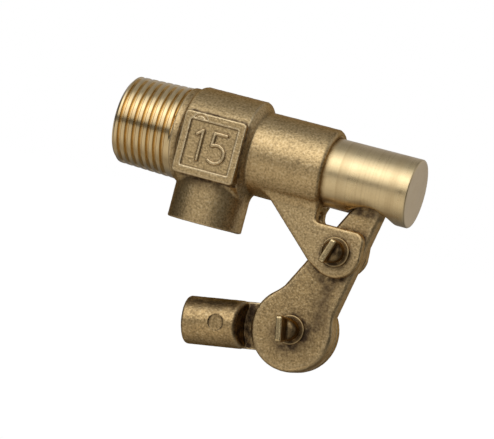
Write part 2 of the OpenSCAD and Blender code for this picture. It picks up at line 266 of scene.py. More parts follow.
# middle lines of the raised marks, from the middle of a pad: the number 15, and an arrow
SIZE_MARK = [
    [(-3.6, 2.3), (-2.3, 3.4), (-2.3, -3.4)],
    [(3.5, 3.4), (0.6, 3.4), (0.45, 0.5)],
    arc((1.75, -1.25), 2.1, 125, -130, 10),
]
FLOW_MARK = [[(-4, 0), (4, 0)], [(1.6, 2.4), (4, 0), (1.6, -2.4)]]


def lug_outline(x, z):
    """Outline of a lug: a sloped web, a round end about the pivot and a square corner."""
    points = (
        [(LUG_WEB_X, LUG_ROOT_Z), LUG_WEB_FOOT]
        + arc((PIVOT_X, PIVOT_Z), LUG_R, 233, 355, 20)
        + arc((LUG_RIGHT_X - LUG_CORNER_R, LUG_TOP_Z - LUG_CORNER_R), LUG_CORNER_R, 0, 90)
        + arc((LUG_INNER_X + LUG_INNER_R, LUG_TOP_Z + LUG_INNER_R), LUG_INNER_R, 270, 180, 6)
        + [(LUG_INNER_X - 0.2, LUG_ROOT_Z)]
    )
    return polygon(x, z, points)


def pad_outline(x, z):
    """Outline of a square pad."""
    return rounded(np.abs(x - PAD_X) - PAD_HALF_W, np.abs(z - PAD_Z) - PAD_HALF_H, 1.0)


def pad_field(side_sign, marks):
    """Field of a square pad on one side, with a raised mark in its sunk middle."""

    def field(x, y, z):
        u, v, side = x - PAD_X, z - PAD_Z, y * side_sign
        face = side - PAD_Y + PAD_TRIM
        block = np.maximum(rounded(pad_outline(x, z), face, 0.3), PAD_BACK_Y - side)
        sunk = rounded(np.abs(u) - PAD_HALF_W + PAD_FRAME, np.abs(v) - PAD_HALF_H + PAD_FRAME, 0.2)
        pad = cut(block, np.maximum(sunk, PAD_Y - PAD_DEPTH - side), 0.1)
        if side_sign < 0:  # a small crescent-shaped dent in the frame
            crescent = np.abs(length(u - DENT_X, v - DENT_Z) - DENT_R) - DENT_HALF_W
            crescent = np.maximum(crescent, DENT_LOW_Z - v)
            pad = cut(pad, np.maximum(crescent, PAD_Y - DENT_DEPTH - side), 0.12)
        mark = rounded(strokes(u, v, marks) - STROKE_R, face, 0.3)
        return joined(pad, np.maximum(mark, PAD_Y - 1 - side), 0.06)

    return field


def barrel_field(x, y, z):
    """Neck, thick barrel with its shoulder, piston barrel, and the root inside the inlet piece."""
    rho = length(y, z)
    ragged = 0.12 * np.sin(3 * np.arctan2(z, y) + 1) - 0.3 * z / NECK_R
    neck = rounded(rho - NECK_R, NECK_X0 + ragged - x, 0.25)
    neck = np.maximum(neck, x - THICK_X0 - OVERLAP)
    fall = THICK_R - BARREL_R
    slope = math.hypot(fall, SHOULDER_LEN)
    shoulder = ((x - THICK_X1) * fall + (rho - THICK_R) * SHOULDER_LEN) / slope
    thick = rounded(rounded(rho - THICK_R + PARTING_H, THICK_X0 - x, 1.0), shoulder, 0.06)
    barrel = rounded(rho - BARREL_R, np.abs(x - BARREL_MID_X) - (BARREL_X1 - BARREL_MID_X), 1.0)
    root = np.maximum(rho - ROOT_R, np.maximum(WEB_X0 - x, x - THICK_X0 - OVERLAP))
    return np.minimum(joined(joined(thick, neck, 0.25), barrel, 0.12), root)


def water_way(x, y, z):
    """Piston bore, chamber, nozzle hole and spout bore, and the lugs' pin holes."""
    rho = length(y, z)
    bore = np.minimum(
        np.maximum(rho - BORE_R, CHAMBER_X1 - 1 - x),
        np.maximum(rho - CHAMBER_R, np.maximum(WEB_X1 - x, x - CHAMBER_X1)),
    )
    bore = np.minimum(bore, np.maximum(rho - NOZZLE_HOLE_R, x - WEB_X1 - 1))
    bore = np.minimum(bore, np.maximum(length(x - SPOUT_X, y) - SPOUT_BORE_R, z))
    return np.minimum(bore, length(x - PIVOT_X, z - PIVOT_Z) - PIN_HOLE_R)


def body_field(x, y, z):
    """The housing casting without its pads and its threaded inlet."""
    spout = rounded(length(x - SPOUT_X, y) - SPOUT_R, SPOUT_Z - z, 0.35)
    body = joined(barrel_field(x, y, z), np.maximum(spout, z), 0.7)
    body = body - ridge(y, PARTING_H, PARTING_W) * (x > THICK_X0)
    # a recess under each pad, so that the barrel doesn't show through the pad's floor
    under_pad = np.maximum(np.abs(x - PAD_X) - PAD_HALF_W, np.abs(z - PAD_Z) - PAD_HALF_H) + 1.2
    body = np.maximum(body, -np.maximum(under_pad, PAD_Y - PAD_DEPTH - 0.35 - np.abs(y)))
    trim = np.where(y > 0, REAR_LUG_TRIM, 0)
    lug_side = np.abs(np.abs(y) - LUG_GAP / 2 - LUG_T / 2) - LUG_T / 2
    lug = rounded(lug_outline(x, z) + trim, lug_side, 0.6)
    return cut(joined(body, lug, 1.3), water_way(x, y, z), 0.25)


# ---------------------------------------------------------------- piston


def piston_field(x, y, z):
    """The piston: a rod with a ring groove, a spigot, and a scallop and slot for the lever's tip."""
    rho = length(y, z)
    cup_end = box_mm("washer_cup")[1][0]
    ring_low, ring_high = box_mm("piston_ring")
    rod_end = np.abs(x - (cup_end + PISTON_HIGH[0]) / 2) - (PISTON_HIGH[0] - cup_end) / 2
    rod = rounded(rho - PISTON_R, rod_end, 0.35)
    groove = np.abs(x - (ring_low[0] + ring_high[0]) / 2) - GROOVE_HALF_W
    rod = cut(rod, np.maximum(groove, PISTON_R - GROOVE_DEPTH - rho), 0.15)
    spigot = np.maximum(rho - SPIGOT_R, np.maximum(PISTON_LOW[0] - x, x - cup_end - 1))
    rod = np.minimum(rod, spigot)
    scallop = length(x - SCALLOP_X, z - SCALLOP_Z) - SCALLOP_R
    rod = cut(rod, scallop, 0.2)
    slot_side = np.maximum(np.abs(y) - SLOT_HALF_W, z - SLOT_TOP)
    slot = rounded(np.abs(x - SLOT_X) - SLOT_HALF_L, slot_side, 0.2)
    return cut(rod, slot, 0.2)


# ---------------------------------------------------------------- lever and arm


def lever_outline(x, z):
    """Outline of the lever: a tapered blade with a round tip, joined to a disc."""
    foot_z = DISC_Z + 2
    lean_l, lean_r = math.atan(LEFT_LEAN), math.atan(RIGHT_LEAN)

    def flank(point, lean, height):
        return point[0] + (height - point[1]) * lean

    base_l = flank(LEFT_FLANK, LEFT_LEAN, 0) + TIP_R / math.cos(lean_l)
    base_r = flank(RIGHT_FLANK, RIGHT_LEAN, 0) - TIP_R / math.cos(lean_r)
    tip_z = (base_r - base_l) / (LEFT_LEAN - RIGHT_LEAN)
    tip_x = base_l + tip_z * LEFT_LEAN
    blade = (
        [(flank(LEFT_FLANK, LEFT_LEAN, foot_z), foot_z)]
        + arc((tip_x, tip_z), TIP_R, 180 - math.degrees(lean_l), -math.degrees(lean_r), 24)
        + [(flank(RIGHT_FLANK, RIGHT_LEAN, foot_z), foot_z)]
    )
    return joined(polygon(x, z, blade), length(x - DISC_X, z - DISC_Z) - DISC_R, 0.8)


def lever_field(x, y, z):
    """The lever: its front edge well rounded, its back edge sharp, and two pin holes."""
    side = lever_outline(x, z) + PARTING_H - ridge(y, PARTING_H, PARTING_W)
    lever = rounded(side, -y - LEVER_T / 2, 1.0)
    lever = rounded(lever, y - LEVER_T / 2, 0.2)
    middle = np.minimum(length(x - PIVOT_X, z - PIVOT_Z), length(x - DISC_X, z - DISC_Z))
    return cut(lever, middle - PIN_HOLE_R, 0.2)


def socket_frame(x, z):
    """Distances from the clamp screw along the socket and across it."""
    along = (x - DISC_X) * SOCKET_DIR[0] + (z - DISC_Z) * SOCKET_DIR[1]
    across = (z - DISC_Z) * SOCKET_DIR[0] - (x - DISC_X) * SOCKET_DIR[1]
    return along, across


def arm_field(x, y, z):
    """The arm: a disc and a tang behind the lever's disc, and the socket for the float rod."""
    along, across = socket_frame(x, z)
    radius = length(along, across)
    tang_end = np.maximum(-along, along - SCOOP_R - 2)
    tang = np.maximum(np.abs(across) - SOCKET_R + 0.1, tang_end)
    plate = joined(radius - DISC_R + 0.05, tang, 0.8)
    plate = rounded(rounded(plate, TANG_Y0 - y, 0.2), y - TANG_Y0 - TANG_T, 0.6)
    rho = length(y, across)
    socket = rounded(rho - SOCKET_R, along - SOCKET_REACH, 0.8)
    socket = np.maximum(socket, SCOOP_R - 3 - along)
    socket = cut(socket, np.maximum(radius - SCOOP_R, y - TANG_Y0), 1.1)
    arm = joined(socket, plate, 0.5)
    mark = np.maximum(length(along - MARK_ALONG, across) - MARK_R, y + SOCKET_R - MARK_DEPTH)
    arm = cut(arm, mark, 0.12)
    turn = np.arctan2(y, across) / (2 * math.pi)
    tooth = ROD_TOOTH_H * np.cos(2 * math.pi * (along / ROD_PITCH - turn))
    hole = np.maximum(rho - ROD_HOLE_R - 0.15 - tooth, SOCKET_REACH - ROD_HOLE_LEN - along)
    chamfer = rho - ROD_HOLE_R - 0.7 + (SOCKET_REACH - along)
    arm = cut(arm, np.minimum(hole, chamfer), 0.1)
    return cut(arm, radius - PIN_HOLE_R, 0.15)


# ---------------------------------------------------------------- screws and washers


def wing_screw_field(node, centre, face_y, dome_l, angle):
    """Field of a wing screw along the y axis, its wing turned by angle degrees from +X towards +Z.

    face_y is where the head meets its washer, and dome_l is the length of the dome.
    """
    low, high = box_mm(node)
    head_l = face_y - low[1]
    c, s = math.cos(math.radians(angle)), math.sin(math.radians(angle))

    def field(x, y, z):
        u, w = x - centre[0], z - centre[1]
        along, across = u * c + w * s, w * c - u * s
        rho = length(u, w)
        out = face_y - y
        crown = length(rho, out - dome_l + CROWN_R) - CROWN_R
        dome = np.maximum(rounded(rho - DOME_R, crown, 0.9), -out)
        half_w = WING_HALF_W + WING_FLARE * np.clip(out / head_l, 0, 1)
        wing = rounded(np.abs(along) - half_w, np.abs(out - head_l / 2) - head_l / 2 + 0.02, 0.7)
        wing = rounded(wing, np.abs(across) - WING_HALF_T, 0.35)
        head = joined(dome, wing, 0.35)
        turn = np.arctan2(w, u) / (2 * math.pi)
        tooth = SCREW_TOOTH_H * np.cos(2 * math.pi * (y / SCREW_PITCH + turn)) - 0.14
        root_y = face_y - 1  # the shank starts inside the head
        shank_end = np.abs(y - (high[1] + root_y) / 2) - (high[1] - root_y) / 2
        shank = rounded(rho - SHANK_R - tooth, shank_end, 0.4)
        return np.minimum(head, shank)

    return field


def washer_field(node, centre, slot_angle):
    """Field of a split spring washer: a ring that climbs a little from one end to the other."""
    low, high = box_mm(node)
    mid_y, outer = (low[1] + high[1]) / 2, (high[0] - low[0]) / 2
    inner = SHANK_R + 0.15

    def field(x, y, z):
        u, w = x - centre[0], z - centre[1]
        angle = (np.arctan2(w, u) - math.radians(slot_angle)) % (2 * math.pi)
        climb = WASHER_CLIMB * (angle / math.pi - 1)
        rho = length(u, w)
        rim = np.abs(rho - (outer + inner) / 2) - (outer - inner) / 2
        ring = rounded(rim, np.abs(y - mid_y + climb) - WASHER_HALF_T, 0.18)
        gap = np.minimum(angle, 2 * math.pi - angle) * rho - WASHER_GAP
        return np.maximum(ring, -gap)

    return field


PIVOT, CLAMP = (PIVOT_X, PIVOT_Z), (DISC_X, DISC_Z)
LUG_FACE_Y = -LUG_GAP / 2 - LUG_T - WASHER_T
LEVER_FACE_Y = -LEVER_T / 2 - WASHER_T
FIELDS = {
    "body": body_field,
    "size_pad": pad_field(-1, SIZE_MARK),
    "flow_pad": pad_field(1, FLOW_MARK),
    "piston": piston_field,
    "lever": lever_field,
    "arm": arm_field,
    "pivot_screw": wing_screw_field("pivot_screw", PIVOT, LUG_FACE_Y, dome_l=3.2, angle=72),
    "clamp_screw": wing_screw_field("clamp_screw", CLAMP, LEVER_FACE_Y, dome_l=4.2, angle=102),
    "pivot_washer": washer_field("pivot_washer", PIVOT, slot_angle=160),
    "clamp_washer": washer_field("clamp_washer", CLAMP, slot_angle=250),
}


# ---------------------------------------------------------------- darker places, painted shade and wear by place


def arm_darkening(x, y, z):
    """Darker along the top of the socket, and painted shade on the hollow's wall and on the tang in
    front of the disc.
    """
    along, across = socket_frame(x, z)
    top = 0.8 * np.clip((-across - 1.0) / 3.5, 0, 1) * np.clip((along - SCOOP_R + 1) / 2, 0, 1)
    front = np.clip((TANG_Y0 + 0.5 - y) / 0.5, 0, 1)
    # painted shade in the hollow and on the tang, which lie deep in shadow
    hollow = 1.05 * np.clip((SCOOP_R + 0.6 - length(along, across)) / 0.4, 0, 1) * front
    return np.maximum(top, hollow)


def arm_wear(x, y, z):
    """No rubbing on the round mark's edge."""
    along, across = socket_frame(x, z)
    return -1.0 * (np.abs(length(along - MARK_ALONG, across) - MARK_R) < 0.6) * (y < 0)


def body_crease_shade(x, y, z):
    """Painted shade in the crease around the foot of each pad."""
    return 1.1 * np.clip(1.3 - pad_outline(x, z) / 0.4, 0, 1) * (np.abs(y) > 5)


def pad_shade(x, y, z):
    """Less painted shade on a pad's open face, and painted shade on its side walls."""
    wall = np.clip((PAD_Y - 0.4 - np.abs(y)) / 0.6, 0, 1) * (pad_outline(x, z) > -0.8)
    # the open face takes back some of the painted shelter shade
    return wall - 0.4


def lever_darkening(x, y, z):
    """Darker around the clamp screw and along a band up the middle, painted shadow where the lever
    enters the piston, and less painted shade on the upper blade.
    """
    path = [[(DISC_X, DISC_Z - 4), (DISC_X + 6, DISC_Z + 2), (DISC_X + 6, DISC_Z + 12)]]
    # the upper blade takes back some of the painted shelter shade
    tip = np.clip((z - PIVOT_Z - 5) / 3, 0, 1)
    # painted shadow under the piston's edge
    contact = 1.4 * np.clip((z + PISTON_R + 1.0) / 1.4, 0, 1)
    around = 0.3 * np.exp(-((length(x - DISC_X, z - DISC_Z) / 5.5) ** 2))
    return 0.7 * np.exp(-((strokes(x, z, path) / 2.2) ** 2)) - 0.8 * tip + contact + around


def lever_wear(x, y, z):
    """A rubbed band along the lever's outline."""
    return 0.35 * np.clip(1 + lever_outline(x, z) / 2.0, 0, 1)


def washer_wear(x, y, z):
    """Less wear than elsewhere: the washers are shielded by the screws."""
    return -0.7


def screw_darkening(node):
    """Darker all over a wing screw's head, but for the outer part of its wing."""
    wing_end = box_mm(node)[0][1]
    return lambda x, y, z: 0.9 * np.clip((y - wing_end - 0.4) / 1.2, 0, 1)


def screw_wear(node):
    """Wear on the outer end of a wing."""
    wing_end = box_mm(node)[0][1]
    return lambda x, y, z: 0.5 * np.clip(1.1 - (y - wing_end) / 0.35, 0, 1)


# ---------------------------------------------------------------- meshes

LATTICE = np.random.default_rng(7).standard_normal((32, 32, 32))


def bumps(points, scale):
    """Smooth random heights of about unit size, with features of about scale millimetres."""
    cell = points / scale
    base = np.floor(cell).astype(int)
    share = eased(cell - base)
    total = 0
    for corner in np.ndindex(2, 2, 2):
        weight = np.prod(np.where(corner, share, 1 - share), axis=1)
        index = (base + corner) % LATTICE.shape[0]
        total = total + weight * LATTICE[index[:, 0], index[:, 1], index[:, 2]]
    return total


def at(field, points):
    """Values of a field at some points."""
    return field(points[:, 0], points[:, 1], points[:, 2])


def gradient(field, points, h=0.02):
    """Slope of a field at some points."""
    slopes = []
    for axis in np.eye(3):
        slopes.append((at(field, points + h * axis) - at(field, points - h * axis)) / (2 * h))
    return np.stack(slopes, axis=1)


def sheltered(points, normals):
    """How sheltered points of the surface are, from 0 to 1, most of all just below other parts. The
    materials darken them by it, as painted shade.
    """
    total = 0
    up = np.array([0.3, 0.0, 0.95])
    along = up - normals * (normals @ up)[:, None]
    for reach, lift, share in ((0.8, 0.0, 0.5), (2.2, 0.0, 0.5), (2.0, 1.4, 0.4)):
        probe = points + reach * normals + lift * along
        nearest = np.minimum.reduce([at(field, probe) for field in FIELDS.values()])
        total = total + share * np.clip(1 - nearest / reach, 0, 1)
    return np.clip(total, 0, 1)


def polygonised(field, low, high, step):
    """Points and quads of a field's surface inside a box, with every point on the zero level."""
    # the odd margin keeps the samples off the flat faces that lie on the box
    low = np.asarray(low, float) - 2.6 * step
    counts = np.ceil((np.asarray(high, float) - low) / step).astype(int) + 3
    x, y, z = (low[i] + step * np.arange(counts[i]) for i in range(3))
    values = field(x[:, None, None], y[None, :, None], z[None, None, :])
    reach = 3 * step
    grid = openvdb.FloatGrid(reach)
    grid.copyFromArray(np.clip(np.broadcast_to(values, counts), -reach, reach).astype(np.float32))
    points, quads = grid.convertToQuads(0.0)
    points = low + points.astype(float) * step
    for _ in range(3):
        slope = gradient(field, points)
        size2 = np.maximum((slope ** 2).sum(1), 0.25)
        move = (at(field, points) / size2)[:, None] * slope
        points = points - np.clip(move, -step / 2, step / 2)
    return points, quads


def solid(name, field, low, high, step, roughness=0.0, darkening=None, worn=None):
    """Mesh of a field inside a box.

    roughness is the height of the surface's unevenness. The next two functions add, by place, darker
    tone and painted shade, and wear.
    """
    points, quads = polygonised(field, low, high, step)
    normals = gradient(field, points)
    normals /= np.maximum(np.linalg.norm(normals, axis=1), 1e-9)[:, None]
    probe = 0.45  # how deep a convex edge or a hollow is felt
    wear = np.clip((at(field, points - probe * normals) + probe) / (0.45 * probe), 0, 1)
    # painted shade in hollows: how deep in a hollow a point lies, for the materials to darken
    hollow_shade = np.clip((probe - at(field, points + probe * normals)) / probe, 0, 1)
    # painted shade below and beside other parts, plus darker tone and painted shade by place
    darkness = sheltered(points, normals)
    if darkening:
        darkness = darkness + at(darkening, points)
    if worn:
        wear = wear + at(worn, points)
    if roughness:
        height = 0.5 * bumps(points, 0.9) + bumps(points + 50, 0.45)
        points = points + normals * (roughness * height)[:, None]
    shades = {"wear": np.clip(wear, 0, 1), "hollow_shade": hollow_shade, "darkening": np.clip(darkness, 0, 1)}
    return mesh_object(name, points, quads, shades)


def mesh_object(name, points, faces, shades=None):
    """A smooth-shaded object. shades are values for every vertex, by name, for the materials."""
    mesh = bpy.data.meshes.new(name)
    mesh.from_pydata((points * MM).tolist(), [], faces.tolist())
    for key, values in (shades or {}).items():
        attribute = mesh.attributes.new(key, "FLOAT", "POINT")
        attribute.data.foreach_set("value", values.astype(np.float32))
    mesh.polygons.foreach_set("use_smooth", np.ones(len(mesh.polygons), bool))
    mesh.update()
    piece = bpy.data.objects.new(name, mesh)
    bpy.context.scene.collection.objects.link(piece)
    return piece


def thread_radius(x, angle):
    """Outer radius of the inlet at distance x, where angle runs from +Y towards +Z."""
    crest = GAUGE_R + (x - GAUGE_X) * TAPER
    turns = (x - FIRST_CREST_X) / PITCH - (angle / (2 * math.pi) - 0.5)
    off = np.abs(turns - np.round(turns))
    share = eased(np.clip((off - 0.2) / 0.25, 0, 1))
    groove_x = FIRST_CREST_X + (np.floor(turns) + 0.5 + angle / (2 * math.pi) - 0.5) * PITCH
    left = 1 - np.clip((groove_x - RUN_OUT_X) / 0.25, 0, 1)
    return np.minimum(crest - THREAD_DEPTH * share * left, END_CHAMFER_R + END_CHAMFER_SLOPE * x)


def inlet_thread():
    """The inlet: rings of points with a helical thread outside and a stepped bore inside."""
    around, per_pitch = 180, 26
    angle = 2 * math.pi * np.arange(around) / around
    rows = np.linspace(0, THREAD_END, round(THREAD_END / PITCH * per_pitch) + 1)
    x = np.repeat(rows[:, None], around, axis=1)
    radius = thread_radius(x, angle[None, :])
    inner = [
        (THREAD_END, NOZZLE_RECESS_R),
        (INLET_BORE_LEN, NOZZLE_RECESS_R),
        (INLET_BORE_LEN, INLET_BORE_R),
        (0.5, INLET_BORE_R),
        (0.0, INLET_BORE_R + 0.5),
    ]
    x_in = np.array([[px] * around for px, _ in inner])
    r_in = np.array([[pr] * around for _, pr in inner])
    x = np.vstack([x, x_in])
    radius = np.vstack([radius, r_in])
    points = np.stack([x, radius * np.cos(angle), radius * np.sin(angle)], axis=2).reshape(-1, 3)
    count = len(x)
    i, j = np.meshgrid(np.arange(count), np.arange(around), indexing="ij")
    nxt_i, nxt_j = (i + 1) % count, (j + 1) % around
    corners = ((i, j), (i, nxt_j), (nxt_i, nxt_j), (nxt_i, j))
    faces = np.stack([ring * around + spot for ring, spot in corners], axis=2)
    return mesh_object("inlet_thread", points, faces.reshape(-1, 4))


# ---------------------------------------------------------------- materials


class Nodes:
    """Short forms for building a material's node tree."""

    def __init__(self, name):
        self.material = bpy.data.materials.new(name)
        self.material.use_nodes = True
        self.tree = self.material.node_tree
        self.shader = self.tree.nodes["Principled BSDF"]

    def add(self, kind, **inputs):
        node = self.tree.nodes.new("ShaderNode" + kind)
        for key, value in inputs.items():
            self.put(node, key, value)
        return node

    def put(self, node, key, value):
        socket = node.inputs[key.replace("_", " ")] if isinstance(key, str) else node.inputs[key]
        if isinstance(value, bpy.types.NodeSocket):
            self.tree.links.new(value, socket)
        else:
            socket.default_value = value

    def maths(self, operation, a, b=0.0, clamp=False):
        node = self.tree.nodes.new("ShaderNodeMath")
        node.operation = operation
        node.use_clamp = clamp
        self.put(node, 0, a)
        self.put(node, 1, b)
        return node.outputs[0]

    def noise(self, scale_mm, detail=2.0, stretch=(1, 1, 1)):
        """Noise from 0 to 1 with features of about scale_mm millimetres."""
        place = self.add("TexCoord").outputs["Object"]
        mapping = self.add("Mapping", Vector=place)
        mapping.inputs["Scale"].default_value = [s / (scale_mm * MM) for s in stretch]
        texture = self.add("TexNoise", Vector=mapping.outputs[0], Scale=1.0, Detail=detail)
        return texture.outputs["Fac"]

    def attribute(self, name):
        node = self.add("Attribute")
        node.attribute_name = name
        return node.outputs["Fac"]

    def mix(self, share, a, b):
        node = self.tree.nodes.new("ShaderNodeMix")
        node.data_type = "RGBA"
        self.put(node, 0, share)
        self.put(node, 6, a)
        self.put(node, 7, b)
        return node.outputs[2]

    def range(self, value, low, high, to_low=0.0, to_high=1.0):
        node = self.add("MapRange", Value=value)
        node.inputs["From Min"].default_value = low
        node.inputs["From Max"].default_value = high
        node.inputs["To Min"].default_value = to_low
        node.inputs["To Max"].default_value = to_high
        return node.outputs[0]


def brass(name, base, dark, bright, roughness, grain=0.5, grain_height=0.0, speckle=0.0,
          turning=0.0, patches=0.15, edge=(1, 1, 1)):
    """Brass with a fine grain, mottled tone, brighter worn edges, and darker tone and painted shade in
    hollows and sheltered places.

    grain and grain_height are the size and height of the grain in millimetres, and speckle is how
    far it changes the tone. turning is the height of turning marks about the x axis, in millimetres.
    patches is the strength of wide, soft stains. edge tints what is reflected at a grazing angle.
    """
    n = Nodes(name)
    fine = n.noise(grain, 3.0)
    base, dark, bright = ((*tone, 1) for tone in (base, dark, bright))
    colour = n.mix(n.range(n.noise(4.0, 4.0), 0.42, 0.7, 0, patches), base, dark)
    if speckle:
        colour = n.mix(n.range(fine, 0.52, 0.32, 0, speckle), colour, dark)
        colour = n.mix(n.range(fine, 0.54, 0.7, 0, speckle), colour, bright)
    # darker by the per-vertex darkening, in blotches: painted shade where the surface is sheltered, and
    # darker tone by place
    blotches = n.range(n.noise(1.6, 5.0), 0.32, 0.6, 0.35, 1.0)
    darkening_share = n.maths("MULTIPLY", n.attribute("darkening"), blotches, True)
    colour = n.mix(darkening_share, colour, dark)
    # painted shade in hollows and creases
    colour = n.mix(n.maths("MULTIPLY", n.attribute("hollow_shade"), 0.9, True), colour, dark)
    scuffs = n.range(n.noise(1.2, 3.0), 0.3, 0.55, 0.5, 1.0)
    rubbed = n.maths("MULTIPLY", n.attribute("wear"), scuffs, True)
    colour = n.mix(rubbed, colour, bright)
    n.put(n.shader, "Base Color", colour)
    n.put(n.shader, "Metallic", 1.0)
    n.put(n.shader, "Specular_Tint", (*edge, 1))
    rough = n.range(n.noise(2.2, 3.0), 0.3, 0.7, roughness - 0.02, roughness + 0.03)
    rough = n.maths("ADD", rough, n.maths("MULTIPLY", darkening_share, 0.15))
    rough = n.maths("SUBTRACT", rough, n.maths("MULTIPLY", rubbed, 0.08), True)
    n.put(n.shader, "Roughness", rough)
    normal = None
    if grain_height:
        bump = n.add("Bump", Height=fine, Strength=1.0, Distance=grain_height * MM)
        normal = bump.outputs[0]
    if turning:
        stretch = (1, 0.01, 0.01)
        marks = n.noise(0.6, 5.0, stretch)
        bands = n.noise(3.0, 3.0, stretch)
        bump = n.add("Bump", Height=marks, Strength=1.0, Distance=turning * MM)
        if normal:
            n.put(bump, "Normal", normal)
        normal = bump.outputs[0]
        colour = n.mix(n.range(marks, 0.5, 0.3, 0, 0.25), colour, dark)
        colour = n.mix(n.range(bands, 0.52, 0.66, 0, 0.2), colour, dark)
        n.put(n.shader, "Base Color", colour)
        n.put(n.shader, "Roughness", n.maths("ADD", rough, n.range(bands, 0.35, 0.65, 0, 0.1)))
    if normal:
        n.put(n.shader, "Normal", normal)
    return n.material


TARNISH = (0.62, 0.45, 0.28)
CAST = brass(
    "cast_brass", (0.67, 0.485, 0.24), (0.1, 0.064, 0.037), (0.95, 0.77, 0.48), 0.36,
    grain_height=0.06, speckle=0.45, patches=0.08, edge=TARNISH,
)
LEVER_CAST = brass(
    "lever_brass", (0.63, 0.44, 0.205), (0.08, 0.052, 0.032), (0.95, 0.76, 0.45), 0.34,
    grain_height=0.06, speckle=0.5, patches=0.28, edge=TARNISH,
)
TURNED = brass(
    "turned_brass", (0.9, 0.71, 0.4), (0.45, 0.3, 0.13), (0.95, 0.8, 0.5), 0.25,
    grain_height=0.005, speckle=0.11, turning=0.015, patches=0.12,
)
THREAD = brass("thread_brass", (0.84, 0.65, 0.36), (0.34, 0.21, 0.09), (0.95, 0.8, 0.5), 0.15)
SCREW = brass(
    "screw_brass", (0.46, 0.32, 0.15), (0.08, 0.05, 0.026), (0.95, 0.76, 0.42), 0.28,
    grain=0.6, grain_height=0.02, speckle=0.15, edge=TARNISH,
)


def rubber():
    """Dull black rubber, a little uneven in tone and height."""
    n = Nodes("black_rubber")
    colour = n.mix(n.noise(1.5, 3.0), (0.012, 0.012, 0.013, 1), (0.03, 0.03, 0.032, 1))
    n.put(n.shader, "Base Color", colour)
    n.put(n.shader, "Roughness", n.range(n.noise(0.5, 3.0), 0.3, 0.7, 0.55, 0.75))
    bump = n.add("Bump", Height=n.noise(0.25, 2.0), Strength=0.6, Distance=0.02 * MM)
    n.put(n.shader, "Normal", bump.outputs[0])
    return n.material


RUBBER = rubber()


def dress(piece, material):
    """Gives a piece its material."""
    piece.data.materials.clear()
    piece.data.materials.append(material)


def finish(piece, material, body, replaced=None):
    """Gives a new piece its material and body, and hides the CAD node that it stands for."""
    dress(piece, material)
    if replaced:
        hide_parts(replaced)
    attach(piece, body)


# ---------------------------------------------------------------- pieces

coarse = 1.0

body_low = (WEB_X0, BODY_LOW[1], BODY_LOW[2])
body = solid("body_casting", body_field, body_low, BODY_HIGH, 0.3 * coarse, SKIN, body_crease_shade)
finish(body, CAST, "housing", "body")
finish(inlet_thread(), THREAD, "housing")
for name, side_sign in (("size_pad", -1), ("flow_pad", 1)):
    near, far = sorted((side_sign * PAD_Y, side_sign * PAD_BACK_Y))
    low = (PAD_X - PAD_HALF_W, near, PAD_Z - PAD_HALF_H)
    high = (PAD_X + PAD_HALF_W, far, PAD_Z + PAD_HALF_H)
    pad = solid(name, FIELDS[name], low, high, 0.14 * coarse, SKIN, pad_shade)
    finish(pad, CAST, "housing")

piston = solid("piston_rod", piston_field, PISTON_LOW, PISTON_HIGH, 0.28 * coarse)
finish(piston, TURNED, "piston", "piston")

lever = solid(
    "lever_casting", lever_field, LEVER_LOW, LEVER_HIGH, 0.2 * coarse, SKIN, lever_darkening, lever_wear
)
finish(lever, LEVER_CAST, "lever", "lever")

arm = solid("arm_casting", arm_field, SOCKET_LOW, SOCKET_HIGH, 0.2 * coarse, SKIN, arm_darkening, arm_wear)
finish(arm, LEVER_CAST, "arm", "arm_socket")

for node in ("pivot_screw", "clamp_screw"):
    low, high = box_mm(node)
    darkening, worn = screw_darkening(node), screw_wear(node)
    screw = solid(node + "_with_wing", FIELDS[node], low, high, 0.13 * coarse, SKIN / 2, darkening, worn)
    finish(screw, SCREW, node, node)

for node, body_name in (("pivot_washer", "housing"), ("clamp_washer", "lever")):
    low, high = box_mm(node)
    ring = solid(node + "_split", FIELDS[node], low, high, 0.1 * coarse, worn=washer_wear)
    finish(ring, SCREW, body_name, node)

for node in ("seat_nozzle", "washer_cup"):
    dress(frame["nodes"][node], TURNED)
for node in ("piston_ring", "seat_washer"):
    dress(frame["nodes"][node], RUBBER)

# ---------------------------------------------------------------- stage, light and camera


def floor():
    """A plain floor that only the camera sees, and only from above, as white as the backdrop."""
    size, below = 3.0, 0.02
    low, high = cad_box
    mesh = bpy.data.meshes.new("floor")
    centre = (low + high) / 2
    z = low.z - below
    signs = ((-1, -1), (1, -1), (1, 1), (-1, 1))
    corners = [(centre.x + sx * size, centre.y + sy * size, z) for sx, sy in signs]
    mesh.from_pydata(corners, [], [(0, 1, 2, 3)])
    obj = bpy.data.objects.new("floor", mesh)
    bpy.context.scene.collection.objects.link(obj)
    obj.visible_diffuse = obj.visible_glossy = obj.visible_shadow = False
    n = Nodes("pale_floor")
    tone = n.mix(n.noise(300.0, 2.0), (1, 1, 1, 1), (0.985, 0.985, 0.985, 1))
    n.put(n.shader, "Base Color", (0, 0, 0, 1))
    n.put(n.shader, "Specular_IOR_Level", 0.0)
    n.put(n.shader, "Emission_Color", tone)
    n.put(n.shader, "Emission_Strength", 1.02)
    from_above = n.add("MixShader")
    n.put(from_above, 0, n.add("NewGeometry").outputs["Backfacing"])
    n.put(from_above, 1, n.shader.outputs[0])
    n.put(from_above, 2, n.add("BsdfTransparent").outputs[0])
    n.put(n.tree.nodes["Material Output"], "Surface", from_above.outputs[0])
    mesh.materials.append(n.material)


FRONT_DIRECTION = (-0.208, -0.978, 0.0)
